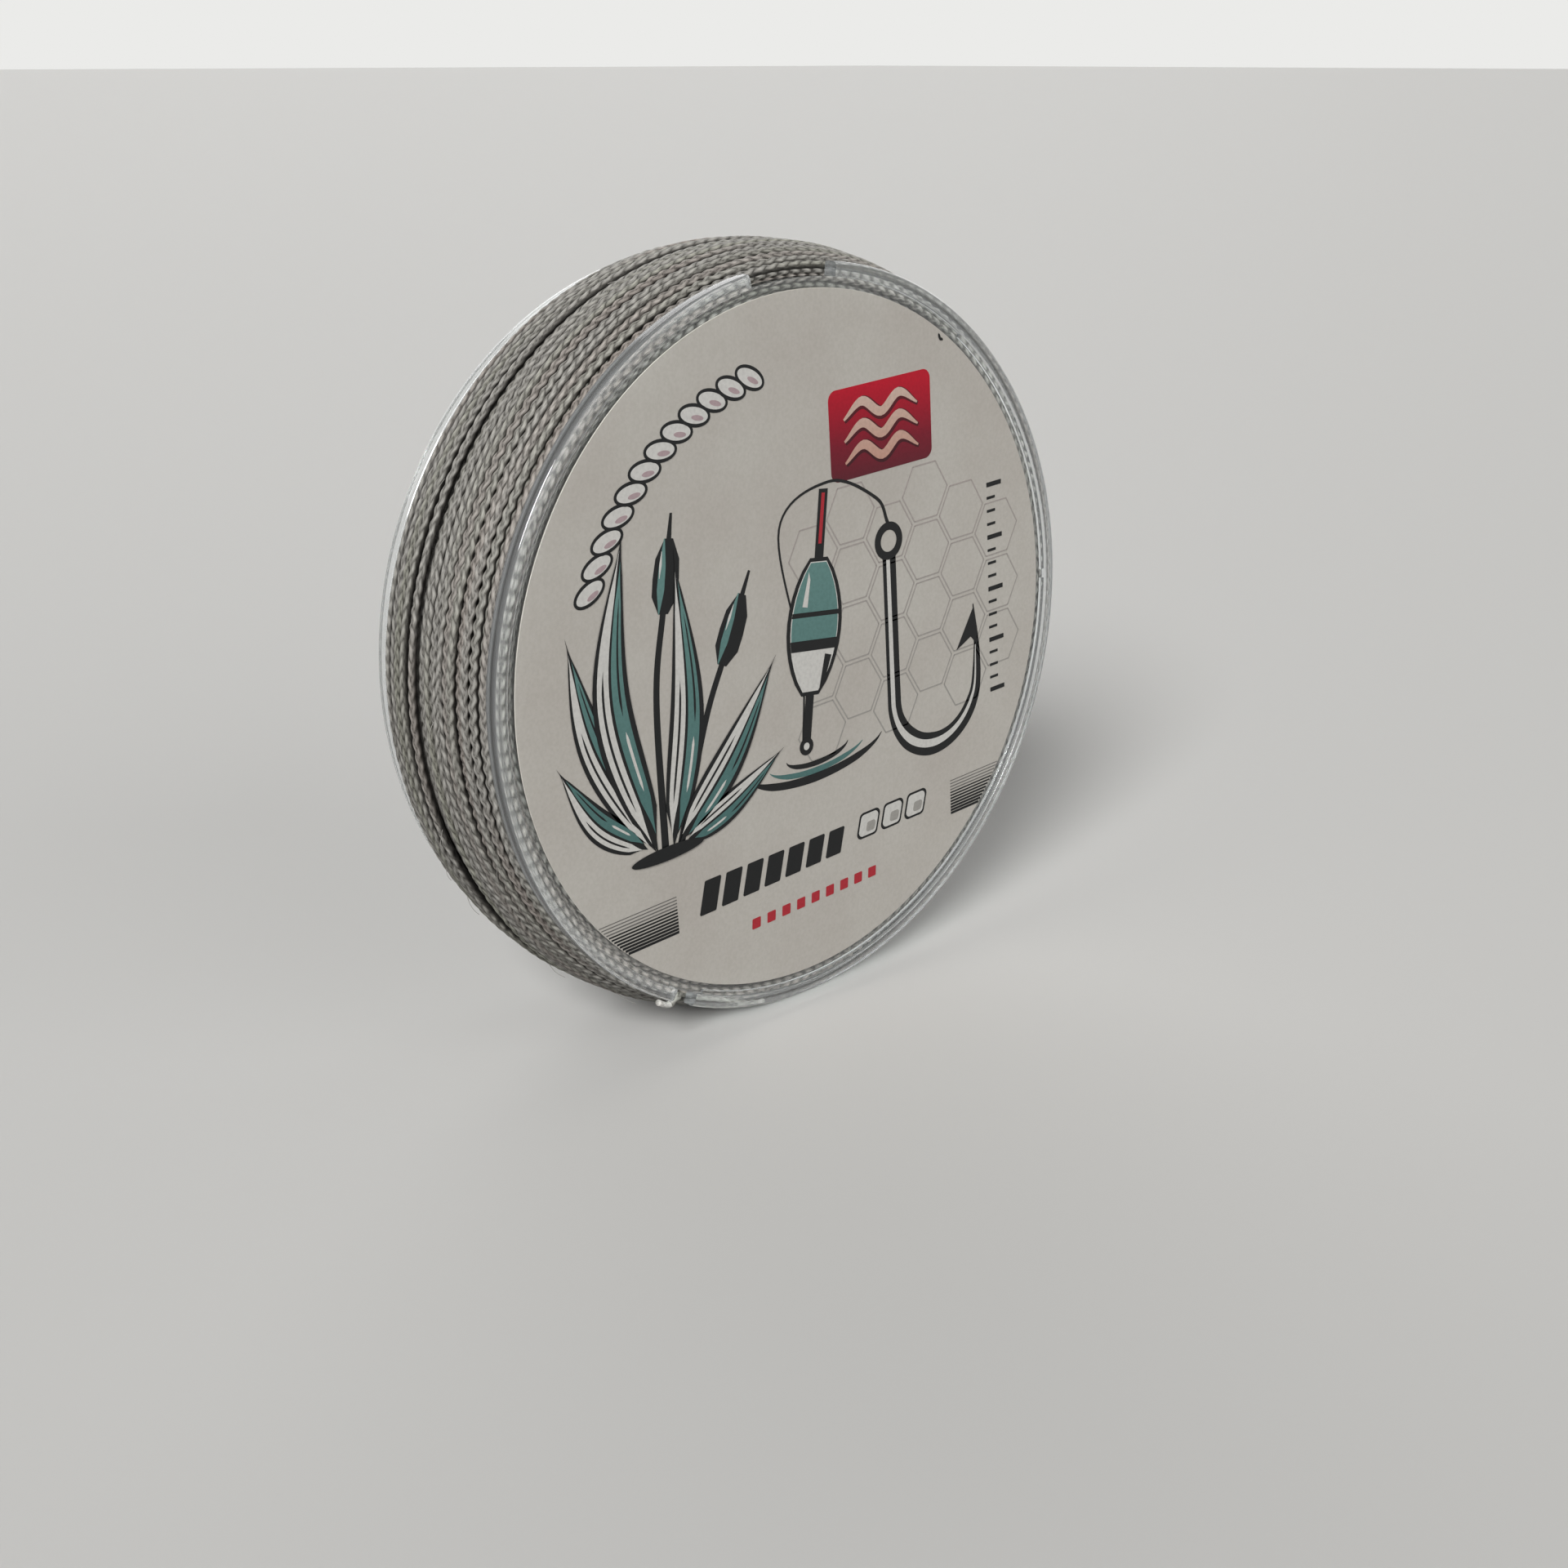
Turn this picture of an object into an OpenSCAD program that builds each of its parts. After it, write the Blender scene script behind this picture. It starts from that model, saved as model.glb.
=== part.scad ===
// Fishing line spool, brim-full of braided line, standing on its edge.
// The axle runs along Y, the label faces -Y and +Z is up. The origin is
// the middle of the spindle bore. Inside spool_axis() the axle is Z, the
// label looks along +Z, +Y is up, and an angle starts at +X and runs
// anticlockwise as the label is seen.

/* [Rims and plates] */
// Outside diameter of both rims
rim_d = 76; // [70:1:90]
// Width of the spool over both rims
spool_w = 19.4; // [17:0.2:24]
// Radial width of the rims
rim_w = 1.4; // [1:0.1:2]
// Rounding of the rims' outer corners
rim_round = 0.3; // [0.1:0.05:0.45]
// Thickness of the flange plates
plate_t = 0.9; // [0.7:0.1:1.4]
// Depth of a plate's outer face below its rim
rim_step = 0.65; // [0.4:0.05:1]

/* [Front rim details] */
// Middle of the wide finger notch, degrees
notch_a = 92.8; // [80:0.2:100]
// Width of the finger notch, degrees
notch_span_a = 16.9; // [8:0.1:24]
// Middle of the slit that holds the line's free end, degrees
slit_a = 243.6; // [238:0.2:250]
// Width of the slit, degrees
slit_span_a = 4.4; // [3:0.2:8]
// Radial width of the low ledge inside the front rim
ledge_w = 0.45; // [0.2:0.05:0.8]
// Height of the ledge above the plate
ledge_h = 0.3; // [0.1:0.05:0.35]
// Upper end of the right-hand ledges, degrees
ledge_top_a = 53.5; // [40:0.5:70]
// Middle of the break between the right-hand ledges, degrees
ledge_gap_a = 3; // [0:0.5:20]
// Width of the ledge breaks, degrees
ledge_gap_span_a = 1.6; // [1:0.2:4]

/* [Hub] */
// Outside diameter of the drum that carries the line
drum_d = 46; // [38:1:54]
// Wall of the drum
drum_wall = 1.2; // [0.8:0.1:2]
// Diameter of the spindle bore
bore_d = 10; // [6:0.5:16]
// Wall of the spindle tube
tube_wall = 1.2; // [0.8:0.1:2]
// Number of webs between the tube and the drum
rib_n = 4; // [3:1:8]
// Thickness of each web
rib_t = 1; // [0.8:0.1:2]
// Direction of the first web, degrees
rib_a = 45; // [0:5:90]
// Wall of the collars that centre the drum on the plates
collar_t = 0.75; // [0.5:0.05:1.2]
// Length of the collars
collar_h = 1.2; // [0.8:0.1:2]

/* [Label] */
// Thickness of the paper label
label_t = 0.15; // [0.1:0.05:0.25]
// Bare ring between the label and the rim
label_margin = 1.1; // [0.8:0.1:3]

/* [Line] */
// Diameter of the line in the outer layer
line_d = 0.86; // [0.6:0.02:1]
// Least space between neighbouring turns
line_gap = 0.41; // [0.41:0.01:0.6]
// Space between the outer turns and the plates
side_gap = 0.3; // [0.2:0.05:0.6]
// Height of the winding's crown above the rims
crown_rise = 1.7; // [0.6:0.1:2.5]
// Depth of the winding below the rim at the front plate
front_drop = 0.4; // [0.2:0.1:1.5]
// Height of the winding above the rim at the rear plate
rear_rise = 0.3; // [-0.5:0.1:0.5]
// Power of the curve from the crown to the plates
crown_power = 2.5; // [2:0.5:4]

/* [Tape on the drum] */
// Length of the tape round the drum, degrees
tape_span_a = 40; // [20:5:90]
// Width of the tape along the axle
tape_w = 10; // [6:0.5:12]
// Thickness of the tape
tape_t = 0.1; // [0.05:0.05:0.2]

/* [Fits] */
// Clearance between the pieces of the hub and round the line
fit = 0.05; // [0.03:0.01:0.1]
// Clearance under the outer layer of line
lay_fit = 0.05; // [0.03:0.01:0.2]

/* [Hidden] */

// Smoothness of the large and the small round parts
fine = 180;
fine_small = 48;
// How far a cutter runs past what it cuts
cut_over = 1;

// Rims and plates
rim_r = rim_d / 2;
rim_in_r = rim_r - rim_w;
face_z = spool_w / 2;
plate_z = face_z - rim_step;
inner_z = plate_z - plate_t;
label_r = rim_in_r - label_margin;

// Hub
drum_r = drum_d / 2;
drum_in_r = drum_r - drum_wall;
bore_r = bore_d / 2;
tube_r = bore_r + tube_wall;
collar_r = drum_in_r - fit;
hub_open_r = collar_r - collar_t;
rib_z = inner_z - collar_h - fit;

// Outer layer of line, with as many half turns as fit between the plates
rings = 24;
sides = 6;
ring_step = 360 / rings;
line_r = line_d / 2;
turn_z = inner_z - side_gap - line_r;
half_turns = floor(4 * turn_z / (line_d + line_gap));
steps = half_turns * rings / 2;

// A straight stretch lies lowest, and a tenth of the line is pressed flat there
bottom_a = 270;
end_a = bottom_a - ring_step / 2;
foot_cut = line_d / 10;
foot_y = (rim_r + crown_rise) * cos(ring_step / 2) - foot_cut;

// Inner layers, and the well where the outer layer comes up through them
core_z = inner_z - fit;
core_steps = 16;
well_r = line_r + lay_fit;
well_depth = 3 * line_d;
bend_steps = 4;

// Radius over the line at a distance z from the middle, front positive
function edge_r(z) = z > 0 ? rim_r - front_drop : rim_r + rear_rise;
function fill_r(z) = rim_r + crown_rise
    - (rim_r + crown_rise - edge_r(z)) * pow(abs(z) / inner_z, crown_power);

// Radius of the inner layers, just clear of the chords of the outer one
function core_r(z) = (fill_r(z) - line_r) * cos(ring_step / 2) - line_r - lay_fit;

function polar(r, a, z) = [r * cos(a), r * sin(a), z];
function unit(v) = v / norm(v);

// Centre line of the outer layer, from the rear to the front
function lay_z(i) = turn_z * (2 * i / steps - 1);
function lay_a(i) = end_a + ring_step * (steps - i);
function lay_point(i) = polar(fill_r(lay_z(i)) - line_r, lay_a(i), lay_z(i));

// The line rises square out of its well and bends over into the first turn
start_z = lay_z(0);
start_a = lay_a(0);
bend_r = line_d;
well_top_r = fill_r(start_z) - line_r - bend_r;
bend_a = bend_r / well_top_r * 180 / PI;
well_floor_r = well_top_r - line_d - lay_fit;
rise_points = [polar(well_top_r - line_d, start_a + bend_a, start_z),
    polar(well_top_r, start_a + bend_a, start_z)];
bend_points = [for (k = [1 : bend_steps - 1]) let (t = 90 * k / bend_steps)
    polar(well_top_r + bend_r * sin(t), start_a + bend_a * cos(t), start_z)];
lay_points = [for (i = [0 : steps]) lay_point(i)];

// The last turn ends straight, and the free end starts there face to face
end_way = unit(lay_points[steps] - lay_points[steps - 1]);
turn_end = lay_points[steps] + line_d * end_way;
turn_points = concat(rise_points, bend_points, lay_points, [turn_end]);

// The free end runs on from the last turn, down into the slit, out of it
// and over the rim beside it
slit_quarter = slit_span_a / 4;
slit_line_r = rim_r - rim_w / 2;
slit_line_z = plate_z - line_r;
end_lead_a = 7;
end_reach_a = 3.5;
end_r = rim_r + line_r + fit;
end_points = [turn_end,
    turn_end + line_d * end_way,
    polar(fill_r(turn_z) - line_r, slit_a + end_lead_a, turn_z),
    polar(slit_line_r, slit_a + slit_quarter, inner_z - line_r - fit),
    polar(slit_line_r, slit_a + slit_quarter / 2, slit_line_z - line_r),
    polar(rim_r, slit_a - slit_quarter / 2, slit_line_z),
    polar(end_r, slit_a - 1.5 * slit_quarter, slit_line_z),
    polar(end_r, slit_a - end_reach_a, slit_line_z)];

// Least gap between any two turns of the outer layer, measured on its points
gap_skip = rings / 2;
least_gap = min([for (i = [0 : steps - gap_skip]) for (j = [i + gap_skip : steps])
    norm(lay_points[i] - lay_points[j])]) - line_d;
echo(line_turns = half_turns / 2, least_gap_mm = least_gap);

// Direction of a path at each of its points
function along(p) = [for (i = [0 : len(p) - 1])
    unit(p[min(i + 1, len(p) - 1)] - p[max(i - 1, 0)])];

// A normal carried along the path without twisting
function carried(t, first) = [for (i = 0, n = first; i < len(t); i = i + 1,
    n = i < len(t) ? unit(n - (n * t[i]) * t[i]) : n) n];

module spool_axis() {
    rotate([90, 0, 0]) children();
}

module slice(a0, a1, reach) {
    mid = (a0 + a1) / 2;
    half = (a1 - a0) / 2;
    far = reach / cos(half);
    polygon([[0, 0], [far * cos(mid - half), far * sin(mid - half)],
        [far * cos(mid + half), far * sin(mid + half)]]);
}

module ring(r_out, r_in, z0, z1) {
    translate([0, 0, z0]) linear_extrude(z1 - z0) difference() {
        circle(r_out, $fn = fine);
        circle(r_in, $fn = fine);
    }
}

// A rim's section, from the plate's inner face to the rim's outer face
module rim_section() {
    translate([rim_in_r, inner_z]) square([rim_w - rim_round, face_z - inner_z]);
    translate([rim_in_r, inner_z + rim_round])
        square([rim_w, face_z - inner_z - 2 * rim_round]);
    for (z = [inner_z + rim_round, face_z - rim_round])
        translate([rim_r - rim_round, z]) circle(rim_round, $fn = fine_small);
}

// Plate, rim and drum collar, as moulded for either side
module flange_blank(hole_r) {
    rotate_extrude($fn = fine) rim_section();
    ring(rim_in_r + rim_round, hole_r, inner_z, plate_z);
    ring(collar_r, hub_open_r, inner_z - collar_h, inner_z);
}

module ledge(a0, a1) {
    rotate([0, 0, a0]) rotate_extrude(angle = a1 - a0, $fn = fine)
        translate([rim_in_r - ledge_w, plate_z - rim_round])
            square([ledge_w + rim_round, ledge_h + rim_round]);
}

module front_flange() {
    notch_start = notch_a - notch_span_a / 2;
    notch_end = notch_a + notch_span_a / 2;
    slit_start = slit_a - slit_span_a / 2;
    slit_end = slit_a + slit_span_a / 2;
    cut_h = face_z - inner_z + 2 * cut_over;
    color("gainsboro", 0.4) spool_axis() {
        difference() {
            flange_blank(tube_r + fit);
            translate([0, 0, inner_z - cut_over]) linear_extrude(cut_h) difference() {
                union() {
                    slice(notch_start, notch_end, rim_r + cut_over);
                    slice(slit_start, slit_end, rim_r + cut_over);
                }
                circle(rim_in_r, $fn = fine);
            }
        }
        ledge(notch_end + ledge_gap_span_a, slit_start - ledge_gap_span_a);
        ledge(slit_end + ledge_gap_span_a, 360 + ledge_gap_a - ledge_gap_span_a / 2);
        ledge(ledge_gap_a + ledge_gap_span_a / 2, ledge_top_a);
    }
}

module rear_flange() {
    color("gainsboro", 0.4) spool_axis() mirror([0, 0, 1]) flange_blank(hub_open_r);
}

module drum() {
    color("gainsboro", 0.4) spool_axis() ring(drum_r, drum_in_r, -inner_z, inner_z);
}

module spindle_tube() {
    color("gainsboro", 0.4) spool_axis() ring(tube_r, bore_r, -plate_z, plate_z);
}

module hub_ribs() {
    color("gainsboro", 0.4) spool_axis() intersection() {
        ring(collar_r, tube_r + fit, -rib_z, rib_z);
        for (i = [0 : rib_n - 1]) rotate([0, 0, rib_a + i * 360 / rib_n])
            translate([0, -rib_t / 2, -rib_z]) cube([drum_r, rib_t, 2 * rib_z]);
    }
}

module front_label() {
    color("whitesmoke") spool_axis() translate([0, 0, plate_z])
        cylinder(r = label_r, h = label_t, $fn = fine);
}

// The strip of tape on the drum, or with a clearance the room for it
module tape_band(room) {
    arc = tape_span_a + 2 * room / drum_r * 180 / PI;
    rotate([0, 0, 90 - arc / 2]) rotate_extrude(angle = arc, $fn = fine)
        translate([drum_r + fit - room, -tape_w / 2 - room])
            square([tape_t + 2 * room, tape_w + 2 * room]);
}

module start_tape() {
    color("white") spool_axis() tape_band(0);
}

module line_core() {
    core_zs = [for (i = [0 : core_steps]) core_z * (2 * i / core_steps - 1)];
    color("darkgray") spool_axis() difference() {
        rotate_extrude($fn = fine) polygon(concat([[drum_r + fit, -core_z]],
            [for (z = core_zs) [core_r(z), z]], [[drum_r + fit, core_z]]));
        tape_band(fit);
        translate([0, 0, start_z]) rotate([0, 90, start_a + bend_a])
            translate([0, 0, well_floor_r])
                cylinder(r = well_r, h = well_depth, $fn = fine_small);
    }
}

// A line swept along points, its lowest side pressed flat at the foot
module line_along(points, first_normal) {
    t = along(points);
    n = carried(t, first_normal);
    count = len(points);
    corners = [for (i = [0 : count - 1]) for (k = [0 : sides - 1])
        let (s = cross(t[i], n[i]), c = points[i]
            + line_r * (cos(360 * k / sides) * s + sin(360 * k / sides) * n[i]))
        [c[0], max(c[1], -foot_y), c[2]]];
    walls = [for (i = [0 : count - 2]) for (k = [0 : sides - 1])
        let (a = i * sides + k, b = i * sides + (k + 1) % sides)
        each [[a, b, b + sides], [a, b + sides, a + sides]]];
    caps = [for (k = [1 : sides - 2]) each [[0, k + 1, k],
        [(count - 1) * sides, (count - 1) * sides + k, (count - 1) * sides + k + 1]]];
    polyhedron(points = corners, faces = concat(walls, caps), convexity = 10);
}

module line_turns() {
    color("silver") spool_axis() line_along(turn_points, [0, 0, 1]);
}

module line_end() {
    color("white") spool_axis() line_along(end_points, [0, 0, 1]);
}

front_flange();
rear_flange();
drum();
spindle_tube();
hub_ribs();
front_label();
start_tape();
line_core();
line_turns();
line_end();
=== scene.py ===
from math import cos, hypot, pi, radians, sin, sqrt, tan

import bmesh
import bpy
import numpy as np
from mathutils import Matrix, Vector


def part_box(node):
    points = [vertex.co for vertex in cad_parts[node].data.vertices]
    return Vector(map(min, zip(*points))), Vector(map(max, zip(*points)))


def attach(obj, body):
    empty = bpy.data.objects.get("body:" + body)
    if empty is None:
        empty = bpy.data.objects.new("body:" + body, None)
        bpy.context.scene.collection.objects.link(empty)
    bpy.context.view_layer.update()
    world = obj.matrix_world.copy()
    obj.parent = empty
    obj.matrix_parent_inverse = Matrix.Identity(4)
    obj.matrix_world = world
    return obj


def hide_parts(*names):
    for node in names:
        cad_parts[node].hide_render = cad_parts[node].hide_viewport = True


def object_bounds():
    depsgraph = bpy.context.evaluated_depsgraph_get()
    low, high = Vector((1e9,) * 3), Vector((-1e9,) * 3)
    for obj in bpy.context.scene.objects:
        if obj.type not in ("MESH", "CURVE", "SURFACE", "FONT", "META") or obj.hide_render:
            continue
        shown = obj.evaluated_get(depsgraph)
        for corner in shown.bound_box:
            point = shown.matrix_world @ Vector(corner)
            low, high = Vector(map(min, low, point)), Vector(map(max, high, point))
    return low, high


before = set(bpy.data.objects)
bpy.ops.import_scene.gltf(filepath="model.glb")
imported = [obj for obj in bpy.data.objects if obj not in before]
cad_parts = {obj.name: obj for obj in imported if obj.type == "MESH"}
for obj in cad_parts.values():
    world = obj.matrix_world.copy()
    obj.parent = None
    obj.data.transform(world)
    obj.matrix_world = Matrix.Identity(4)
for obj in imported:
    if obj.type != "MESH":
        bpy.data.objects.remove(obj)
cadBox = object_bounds()

# Everything below is worked out in millimetres and made in metres.
# The axle is Y and the label faces -Y. Depth is measured from the middle of the
# spool towards the label, and an angle starts at +X and turns towards +Z.
mm = 0.001
samePlace = 1e-7  # m, points that lie closer are merged
floorZ = cadBox[0].z
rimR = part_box("rear_flange")[1].x / mm
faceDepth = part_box("rear_flange")[1].y / mm
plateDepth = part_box("spindle_tube")[1].y / mm
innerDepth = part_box("drum")[1].y / mm
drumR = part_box("drum")[1].x / mm
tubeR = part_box("spindle_tube")[1].x / mm
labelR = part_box("front_label")[1].x / mm
labelDepth = -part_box("front_label")[0].y / mm


# small helpers

def linearColour(value):
    # an sRGB hex colour in linear light; any other value stays as it is
    if not isinstance(value, str):
        return value
    parts = [int(value[i:i + 2], 16) / 255 for i in (1, 3, 5)]
    linear = [c / 12.92 if c <= 0.04045 else ((c + 0.055) / 1.055) ** 2.4 for c in parts]
    return (*linear, 1.0)


def addNode(tree, kind, settings=None, links=None):
    # a link comes from an output, or from a node whose first output is meant
    node = tree.nodes.new("ShaderNode" + kind)
    for key, value in (settings or {}).items():
        if key == "stops":
            setRamp(node.color_ramp, value)
        elif isinstance(key, int) or key in node.inputs:
            node.inputs[key].default_value = linearColour(value)
        else:
            setattr(node, key, value)
    for key, source in (links or {}).items():
        if isinstance(source, bpy.types.Node):
            source = source.outputs[0]
        tree.links.new(source, node.inputs[key])
    return node


def setRamp(ramp, stops):
    while len(ramp.elements) < len(stops):
        ramp.elements.new(0.5)
    for element, (position, colour) in zip(ramp.elements, stops):
        element.position = position
        element.color = linearColour(colour)


def newMaterial(name):
    material = bpy.data.materials.new(name)
    material.use_nodes = True
    material.node_tree.nodes.clear()
    return material, material.node_tree


def finishMaterial(tree, shader):
    addNode(tree, "OutputMaterial", links={"Surface": shader})


def meshFrom(bm, name):
    mesh = bpy.data.meshes.new(name)
    bm.to_mesh(mesh)
    bm.free()
    return mesh


def addObject(name, data, material=None):
    if isinstance(data, bmesh.types.BMesh):
        data = meshFrom(data, name)
    piece = bpy.data.objects.new(name, data)
    bpy.context.scene.collection.objects.link(piece)
    if material:
        data.materials.append(material)
    return piece


def closeUp(bm):
    # fills what is open and turns the faces outwards
    bmesh.ops.holes_fill(bm, edges=[e for e in bm.edges if e.is_boundary], sides=0)
    bmesh.ops.recalc_face_normals(bm, faces=bm.faces)


def useModifier(piece, kind, **settings):
    # a modifier whose result becomes the mesh
    modifier = piece.modifiers.new(kind, kind)
    for key, value in settings.items():
        setattr(modifier, key, value)
    shown = piece.evaluated_get(bpy.context.evaluated_depsgraph_get())
    mesh = bpy.data.meshes.new_from_object(shown)
    piece.modifiers.clear()
    piece.data = mesh


def smoothShade(piece):
    # the flat faces stay flat, and the small roundings take the bend
    sharpAngle = 35
    piece.data.shade_smooth()
    piece.data.set_sharp_from_angle(angle=radians(sharpAngle))
    useModifier(piece, "WEIGHTED_NORMAL", keep_sharp=True)


def drift(seed, count, knots, amount):
    # a slow random drift along a path, which turns at so many knots
    values = np.random.default_rng(seed).uniform(-amount, amount, knots + 2)
    at = np.linspace(0, knots, count)
    i = np.minimum(at.astype(int), knots)
    f = at - i
    f = f * f * (3 - 2 * f)
    return values[i] * (1 - f) + values[i + 1] * f


# camera, floor and light

cameraSpec = dict(
    place=(-140.0, -158.9, 56.5),  # mm from the middle of the spindle bore
    look=(0.6388, 0.6962, -0.3274),
    lens=48.3, sensor=36, near=0.01, far=50,
)


def makeCamera(spec):
    data = bpy.data.cameras.new("spoolCamera")
    data.lens = spec["lens"]
    data.sensor_width = spec["sensor"]
    data.clip_start, data.clip_end = spec["near"], spec["far"]
    camera = addObject("spoolCamera", data)
    camera.location = Vector(spec["place"]) * mm
    camera.rotation_euler = Vector(spec["look"]).to_track_quat("-Z", "Y").to_euler()
    bpy.context.scene.camera = camera


studio = dict(
    floorColour="#dcdbd8",
    bounceColour="#3a3936",  # the floor as its light reaches the spool
    skyColour="#ebebe9",
    skyLight=0.13,  # strength of the even light from all round
    floorSize=30.0,  # m, far enough to meet the sky
    lamps={  # name: the way it shines from, strength, softness
        "keyLamp": ((-0.7, -0.43, 0.55), 2.6, 22),
        "frontLamp": ((0.15, -1.0, 0.25), 0.87, 60),
        "rearLamp": ((0.5, 1.0, 0.22), 1.1, 60),
    },
)


def seenDirectly(tree):
    # 1 where the camera looks, also by a reflection or through the clear plastic
    path = addNode(tree, "LightPath")
    seen = addNode(tree, "Math", {"operation": "MAXIMUM"},
                   {0: path.outputs["Is Camera Ray"], 1: path.outputs["Is Glossy Ray"]})
    return addNode(tree, "Math", {"operation": "MAXIMUM"},
                   {0: seen, 1: path.outputs["Is Transmission Ray"]})


def makeStage(spec):
    bm = bmesh.new()
    bmesh.ops.create_grid(bm, x_segments=1, y_segments=1, size=spec["floorSize"] / 2)
    bmesh.ops.translate(bm, verts=bm.verts, vec=(0, 0, floorZ))
    material, tree = newMaterial("paleStudioFloor")
    bounce = addNode(tree, "Mix", {"data_type": "RGBA", 6: spec["bounceColour"],
                                   7: spec["floorColour"]}, {0: seenDirectly(tree)})
    finishMaterial(tree, addNode(tree, "BsdfPrincipled", {
        "Roughness": 0.75, "Specular IOR Level": 0.2}, {"Base Color": bounce.outputs[2]}))
    addObject("studioFloor", bm, material)

    world = bpy.data.worlds.new("studioSky")
    bpy.context.scene.world = world
    world.use_nodes = True
    tree = world.node_tree
    tree.nodes.clear()
    light = addNode(tree, "Background", {"Color": (1, 1, 1, 1), "Strength": spec["skyLight"]})
    shown = addNode(tree, "Background", {"Color": spec["skyColour"]})
    mix = addNode(tree, "MixShader", links={0: seenDirectly(tree), 1: light, 2: shown})
    addNode(tree, "OutputWorld", links={"Surface": mix})

    for name, (way, strength, softness) in spec["lamps"].items():
        data = bpy.data.lights.new(name, "SUN")
        data.energy = strength
        data.angle = radians(softness)
        lamp = addObject(name, data)
        lamp.rotation_euler = (-Vector(way)).to_track_quat("-Z", "Y").to_euler()
    bpy.context.scene.view_settings.view_transform = "Standard"


makeCamera(cameraSpec)
makeStage(studio)
print("stage: camera, floor and lamps stand")


# materials
# the length at the end of a line is the width of one grain of its pattern

multiply = {"data_type": "RGBA", "blend_type": "MULTIPLY", 0: 1.0}
full = (1, 1, 1, 1)


def objectPlace(tree):
    return {"Vector": addNode(tree, "TexCoord").outputs["Object"]}


def clearPolystyrene():
    # injection-moulded clear polystyrene: glassy with a slight haze, and flow lines from
    # the mould run round the axle and smear what lies behind the rim
    material, tree = newMaterial("clearPolystyrene")
    where = objectPlace(tree)
    parts = addNode(tree, "SeparateXYZ", links=where)
    flat = addNode(tree, "CombineXYZ", links={0: parts.outputs[0], 1: parts.outputs[2]})
    radius = addNode(tree, "VectorMath", {"operation": "LENGTH"}, {0: flat}).outputs["Value"]
    place = addNode(tree, "CombineXYZ", links={0: radius, 1: parts.outputs[1]})
    flow = addNode(tree, "TexNoise", {"Scale": 2200.0, "Detail": 1.5},
                   {"Vector": place})  # 0.45 mm
    ripple = addNode(tree, "TexNoise", {"Scale": 170.0, "Detail": 2.0}, where)  # 6 mm
    atRim = addNode(tree, "MapRange", {"From Min": (rimR - 1.5) * mm,
                                       "From Max": (rimR - 1.1) * mm}, {"Value": radius})
    streak = addNode(tree, "MapRange", {"From Min": 0.38, "From Max": 0.62}, {"Value": flow})
    murky = addNode(tree, "Math", {"operation": "MULTIPLY"}, {0: atRim, 1: streak})
    letThrough = addNode(tree, "MapRange", {"To Min": 0.985, "To Max": 0.85}, {"Value": murky})
    grit = addNode(tree, "TexNoise", {"Scale": 2500.0, "Detail": 3.0}, where)  # 0.4 mm
    rough = addNode(tree, "MapRange", {"From Min": 0.35, "From Max": 0.75,
                                       "To Min": 0.02, "To Max": 0.1}, {"Value": grit})
    waves = addNode(tree, "Bump", {"Strength": 0.2, "Distance": 0.05 * mm}, {"Height": ripple})
    lines = addNode(tree, "Bump", {"Strength": 0.5, "Distance": 0.03 * mm},
                    {"Height": flow, "Normal": waves})
    body = addNode(tree, "BsdfPrincipled", {"Base Color": "#f4f6f6", "IOR": 1.59},
                   {"Roughness": rough, "Normal": lines, "Transmission Weight": letThrough})
    clear = addNode(tree, "BsdfTransparent", {"Color": "#eef1f1"})
    shadow = addNode(tree, "LightPath").outputs["Is Shadow Ray"]
    finishMaterial(tree, addNode(tree, "MixShader", links={0: shadow, 1: body, 2: clear}))
    return material


def uncoatedLabelPaper():
    # off-white printed paper: matt, with a faint grain of fibres and soft clouds of tone
    material, tree = newMaterial("labelPaper")
    where = objectPlace(tree)
    cloud = addNode(tree, "TexNoise", {"Scale": 90.0, "Detail": 3.0}, where)  # 11 mm
    fibre = addNode(tree, "TexNoise", {"Scale": 3200.0, "Detail": 4.0}, where)  # 0.3 mm
    tone = addNode(tree, "ValToRGB", {"stops": [(0.3, "#c4beb6"), (0.7, "#ccc8c0")]},
                   {"Fac": cloud})
    grain = addNode(tree, "ValToRGB", {"stops": [(0.35, (0.93, 0.93, 0.92, 1)), (0.65, full)]},
                    {"Fac": fibre})
    colour = addNode(tree, "Mix", multiply, {6: tone, 7: grain})
    bump = addNode(tree, "Bump", {"Strength": 0.25, "Distance": 0.02 * mm}, {"Height": fibre})
    finishMaterial(tree, addNode(tree, "BsdfPrincipled", {
        "Roughness": 0.68, "Specular IOR Level": 0.35},
        {"Base Color": colour.outputs[2], "Normal": bump}))
    return material


def printedInk(name, stops, fromZ, toZ):
    # offset ink on paper: a little glossier than the paper, slightly uneven, and where
    # it has two colours they run into each other from fromZ to toZ, in millimetres
    material, tree = newMaterial(name)
    where = objectPlace(tree)
    parts = addNode(tree, "SeparateXYZ", links=where)
    run = addNode(tree, "MapRange", {"From Min": fromZ * mm, "From Max": toZ * mm},
                  {"Value": parts.outputs[2]})
    ramp = addNode(tree, "ValToRGB", {"stops": stops}, {"Fac": run})
    speck = addNode(tree, "TexNoise", {"Scale": 2600.0, "Detail": 3.0}, where)  # 0.4 mm
    spots = addNode(tree, "ValToRGB", {"stops": [(0.3, (0.88, 0.88, 0.88, 1)), (0.6, full)]},
                    {"Fac": speck})
    colour = addNode(tree, "Mix", multiply, {6: ramp, 7: spots})
    finishMaterial(tree, addNode(tree, "BsdfPrincipled", {
        "Roughness": 0.5, "Specular IOR Level": 0.25}, {"Base Color": colour.outputs[2]}))
    return material


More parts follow.
